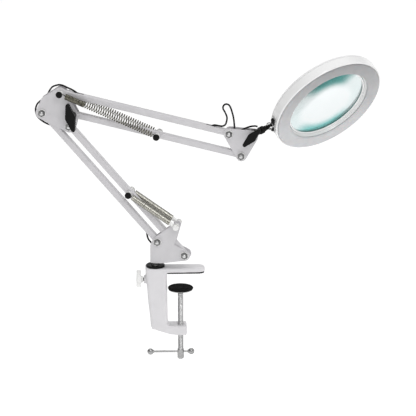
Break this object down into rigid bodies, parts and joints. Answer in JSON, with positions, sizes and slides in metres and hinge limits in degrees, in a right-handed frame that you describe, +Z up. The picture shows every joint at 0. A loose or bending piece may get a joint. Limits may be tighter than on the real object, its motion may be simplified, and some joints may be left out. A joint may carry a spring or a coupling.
{
  "type": "magnifying lamp",
  "caption": "Table-clamp magnifying lamp: double parallelogram arm of square bars with balance springs, lit ring around a round lens on a tilting yoke, tied power lead.",
  "frame": {"origin": "on the underside of the upper jaw's rubber pad, where it rests on the table top, on the axis of the clamp screw", "axes": "+Z up along the clamp screw; +X from the clamp's column over the table; +Y to the rear, away from the side the arm is seen from"},
  "size_m": [0.5092, 0.1352, 0.476],
  "materials": {
    "white_paint": "white powder coat, lightly textured",
    "white_abs": "glossy white moulded ABS",
    "diffuser": "milky translucent diffuser",
    "glass": "clear ground lens, greenish edge",
    "black_plastic": "black moulded plastic",
    "rubber": "dull black rubber",
    "chrome": "bright nickel or chrome plate",
    "steel": "zinc-plated steel",
    "spring_steel": "bright drawn spring wire",
    "pale_knob": "off-white moulded plastic",
    "cable": "black PVC cable jacket, satin",
    "board": "white printed circuit board"
  },
  "bodies": {
    "clamp": {"clamp_body": "white_paint", "jaw_pad": "rubber", "socket_bush": "black_plastic", "power_lead": "cable", "power_hank": "cable", "hank_tie": "rubber", "usb_plug": "black_plastic"},
    "thumb_screw": {"thumb_knob": "pale_knob", "thumb_stud": "steel"},
    "pressure_pad": {"pad_dish": "steel", "pad_rubber": "rubber"},
    "clamp_screw": {"clamp_screw": "steel"},
    "tommy_bar": {"tommy_rod": "steel", "tommy_ball_left": "steel", "tommy_ball_right": "steel"},
    "base_bracket": {"base_bracket": "white_paint", "swivel_pin": "chrome", "base_bolt_left": "chrome", "base_bolt_right": "chrome", "base_stud_front": "pale_knob", "base_stud_rear": "pale_knob", "lead_clip": "black_plastic", "lower_spring_front": "spring_steel", "lower_spring_rear": "spring_steel", "shoulder_lead": "cable"},
    "lower_bar_left": {"lower_bar_left": "white_paint"},
    "lower_bar_right": {"lower_bar_right": "white_paint", "lower_spring_post": "black_plastic"},
    "elbow": {"elbow_plate_front": "white_paint", "elbow_plate_rear": "white_paint", "elbow_bolt_left": "chrome", "elbow_bolt_right": "chrome", "elbow_spring_post": "black_plastic", "elbow_knob_bolt": "chrome", "upper_spring_front": "spring_steel", "upper_spring_rear": "spring_steel", "elbow_lead_left": "cable", "elbow_lead_top": "cable"},
    "elbow_knob": {"elbow_knob": "black_plastic"},
    "upper_bar_top": {"upper_bar_top": "white_paint"},
    "upper_bar_low": {"upper_bar_low": "white_paint", "upper_spring_post": "black_plastic"},
    "head_bracket": {"head_plate_front": "white_paint", "head_plate_rear": "white_paint", "head_bolt_top": "chrome", "head_bolt_low": "chrome", "tilt_bolt": "chrome", "head_loop_lead": "cable", "knuckle_lead": "cable"},
    "head_knob": {"head_knob": "black_plastic"},
    "tilt_knuckle": {"tilt_knuckle": "black_plastic"},
    "head_stem": {"head_stem": "black_plastic"},
    "lamp_head": {"head_yoke": "chrome", "yoke_pin": "steel", "head_housing": "white_abs", "head_back_cover": "white_abs", "diffuser_ring": "diffuser", "led_board": "board", "lens_retainer": "white_abs", "lens": "glass"}
  },
  "joints": [
    {"name": "base_swivel", "type": "hinge", "parent": "clamp", "child": "base_bracket", "pos_m": [-0.0373, 0, 0], "axis": [0, 0, 1], "range_deg": [-135, 135], "deforming": ["power_lead"]},
    {"name": "lower_arm_tilt", "type": "hinge", "parent": "base_bracket", "child": "lower_bar_left", "pos_m": [-0.0329, -0.00094, 0.049], "axis": [0.2079, 0.9781, 0], "range_deg": [-9, 70], "deforming": ["shoulder_lead"]},
    {"name": "elbow_level", "type": "hinge", "parent": "lower_bar_left", "child": "elbow", "pos_m": [-0.20176, 0.03496, 0.23939], "axis": [0.2079, 0.9781, 0], "range_deg": [-71, 10], "deforming": ["elbow_lead_left"]},
    {"name": "lower_link_tilt", "type": "hinge", "parent": "base_bracket", "child": "lower_bar_right", "pos_m": [0.00681, -0.00938, 0.0303], "axis": [0.2079, 0.9781, 0], "range_deg": [-10, 71], "deforming": ["lower_spring_front", "lower_spring_rear"]},
    {"name": "upper_arm_tilt", "type": "hinge", "parent": "elbow", "child": "upper_bar_top", "pos_m": [-0.17457, 0.02918, 0.27139], "axis": [0.2079, 0.9781, 0], "range_deg": [-70, 26], "deforming": ["elbow_lead_top"]},
    {"name": "head_bracket_level", "type": "hinge", "parent": "upper_bar_top", "child": "head_bracket", "pos_m": [0.07212, -0.02326, 0.22191], "axis": [0.2079, 0.9781, 0], "range_deg": [-27, 71], "deforming": ["head_loop_lead"]},
    {"name": "upper_link_tilt", "type": "hinge", "parent": "elbow", "child": "upper_bar_low", "pos_m": [-0.15696, 0.02543, 0.23859], "axis": [0.2079, 0.9781, 0], "range_deg": [-71, 27], "deforming": ["upper_spring_front", "upper_spring_rear"]},
    {"name": "head_tilt", "type": "hinge", "parent": "head_bracket", "child": "tilt_knuckle", "pos_m": [0.10713, -0.0307, 0.22231], "axis": [-0.2079, -0.9781, 0], "range_deg": [-60, 58], "deforming": ["knuckle_lead"]},
    {"name": "head_swivel", "type": "hinge", "parent": "tilt_knuckle", "child": "head_stem", "pos_m": [0.10713, -0.0307, 0.22231], "axis": [0.8496, -0.1806, 0.4955], "range_deg": [-135, 135]},
    {"name": "head_swing", "type": "hinge", "parent": "head_stem", "child": "lamp_head", "pos_m": [0.12973, -0.0355, 0.23549], "axis": [0.4101, -0.3643, -0.8361], "range_deg": [-8, 78]},
    {"name": "elbow_knob_turn", "type": "hinge", "parent": "elbow", "child": "elbow_knob", "pos_m": [-0.15696, 0.02543, 0.23859], "axis": [-0.2079, -0.9781, 0], "continuous": true},
    {"name": "head_knob_turn", "type": "hinge", "parent": "head_bracket", "child": "head_knob", "pos_m": [0.10713, -0.0307, 0.22231], "axis": [-0.2079, -0.9781, 0], "continuous": true},
    {"name": "thumb_screw_turn", "type": "hinge", "parent": "clamp", "child": "thumb_screw", "pos_m": [-0.062, 0, -0.0111], "axis": [1, 0, 0], "continuous": true},
    {"name": "pad_travel", "type": "slide", "parent": "clamp", "child": "pressure_pad", "axis": [0, 0, 1], "range_m": [-0.0492, 0.0236]},
    {"name": "clamp_screw_turn", "type": "hinge", "parent": "pressure_pad", "child": "clamp_screw", "pos_m": [0, 0, -0.029], "axis": [0, 0, 1], "range_deg": [-14112, 6768]},
    {"name": "lever_slide", "type": "slide", "parent": "clamp_screw", "child": "tommy_bar", "axis": [1, 0, 0], "range_m": [-0.0058, 0.035]}
  ],
  "couplings": [
    {"joint": "elbow_level", "follows": "lower_arm_tilt", "ratio": -1},
    {"joint": "lower_link_tilt", "follows": "lower_arm_tilt", "ratio": 1},
    {"joint": "head_bracket_level", "follows": "upper_arm_tilt", "ratio": -1},
    {"joint": "upper_link_tilt", "follows": "upper_arm_tilt", "ratio": 1},
    {"joint": "pad_travel", "follows": "clamp_screw_turn", "m_per_rad": 0.00019894}
  ]
}
